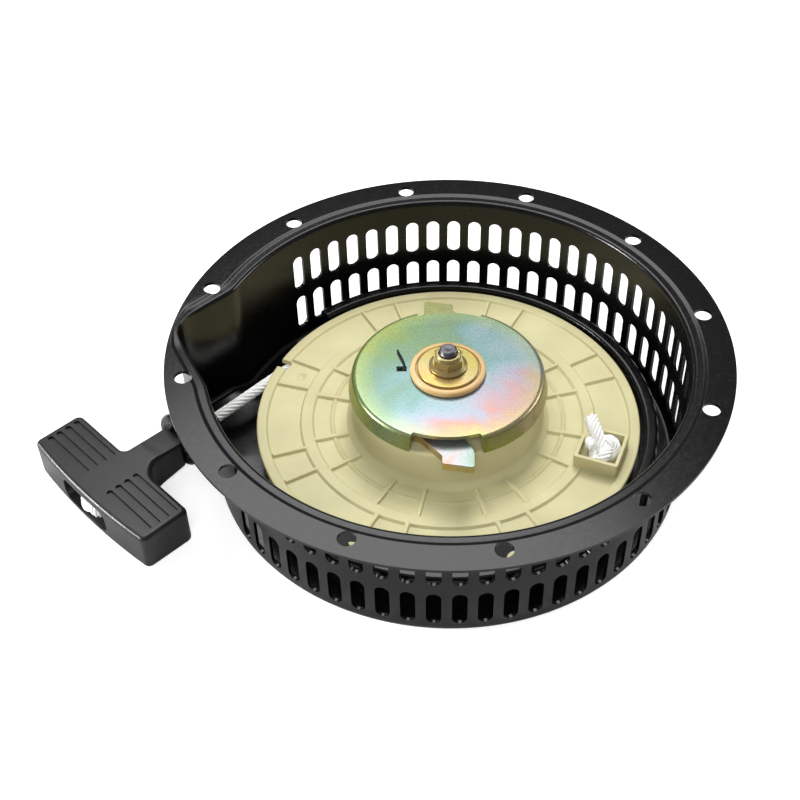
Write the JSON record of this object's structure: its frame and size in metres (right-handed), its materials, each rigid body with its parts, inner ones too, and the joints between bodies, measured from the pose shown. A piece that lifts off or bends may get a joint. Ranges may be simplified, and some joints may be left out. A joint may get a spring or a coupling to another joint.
{
  "type": "recoil starter",
  "caption": "Recoil starter with a slotted round steel housing, rope reel, ratchet pawls under a plated guide, and a T pull handle.",
  "frame": {"origin": "centre of the housing floor's outside face, on the shaft axis", "axes": "+Z along the shaft, from the floor towards the engine side; the rope leaves towards -X and -Y"},
  "size_m": [0.327, 0.26, 0.066],
  "materials": {
    "black_paint": "semi-gloss black paint on pressed steel",
    "black_nylon": "glossy black nylon",
    "ivory_plastic": "satin ivory moulded plastic",
    "yellow_zinc": "iridescent yellow zinc plating",
    "bright_steel": "machined steel",
    "bronze": "sintered bronze",
    "spring_steel": "blued spring steel",
    "amber_nylon": "satin amber nylon",
    "rope_fibre": "white twisted nylon rope",
    "grip_plastic": "matte charcoal moulded plastic"
  },
  "bodies": {
    "housing": {"housing_shell": "black_paint", "rope_guard": "black_paint", "rope_bushing": "black_nylon", "center_shaft": "bright_steel", "thrust_washer": "bright_steel", "friction_bush": "amber_nylon", "plain_washer": "yellow_zinc", "flange_nut": "yellow_zinc", "recoil_spring": "spring_steel", "spring_anchor": "bright_steel"},
    "reel": {"reel": "ivory_plastic", "reel_bushing": "bronze", "rope_winding": "rope_fibre", "reel_knot": "rope_fibre", "pawl_rivet_front": "bright_steel", "pawl_rivet_rear": "bright_steel", "pawl_spring_front": "spring_steel", "pawl_spring_rear": "spring_steel"},
    "guide": {"ratchet_guide": "yellow_zinc", "friction_spring": "spring_steel"},
    "pawl_front": {"pawl_front": "yellow_zinc"},
    "pawl_rear": {"pawl_rear": "yellow_zinc"},
    "handle": {"handle_grip": "grip_plastic", "handle_knot": "rope_fibre", "rope_in_handle": "rope_fibre", "rope_lead": "rope_fibre"}
  },
  "joints": [
    {"name": "reel_spin", "type": "hinge", "parent": "housing", "child": "reel", "pos_m": [0, 0, 0.02], "axis": [0, 0, 1], "range_deg": [0, 900], "stiffness_Nm_per_rad": 0.05, "springref_deg": -343.77, "deforming": ["recoil_spring"]},
    {"name": "handle_pull", "type": "slide", "parent": "housing", "child": "handle", "axis": [-0.7308, -0.6826, 0], "range_m": [0, 1.32], "deforming": ["rope_lead"]},
    {"name": "guide_turn", "type": "hinge", "parent": "reel", "child": "guide", "pos_m": [0, 0, 0.045], "axis": [0, 0, 1], "range_deg": [-12, 0], "stiffness_Nm_per_rad": 0.03, "springref_deg": 8.59},
    {"name": "pawl_front_swing", "type": "hinge", "parent": "reel", "child": "pawl_front", "pos_m": [-0.024, -0.026, 0.0424], "axis": [0, 0, 1], "range_deg": [-12, 0], "deforming": ["pawl_spring_front"]},
    {"name": "pawl_rear_swing", "type": "hinge", "parent": "reel", "child": "pawl_rear", "pos_m": [0.024, 0.026, 0.0424], "axis": [0, 0, 1], "range_deg": [-12, 0], "deforming": ["pawl_spring_rear"]}
  ],
  "couplings": [
    {"joint": "handle_pull", "follows": "reel_spin", "m_per_rad": 0.0836},
    {"joint": "pawl_front_swing", "follows": "guide_turn", "ratio": 1},
    {"joint": "pawl_rear_swing", "follows": "guide_turn", "ratio": 1}
  ]
}
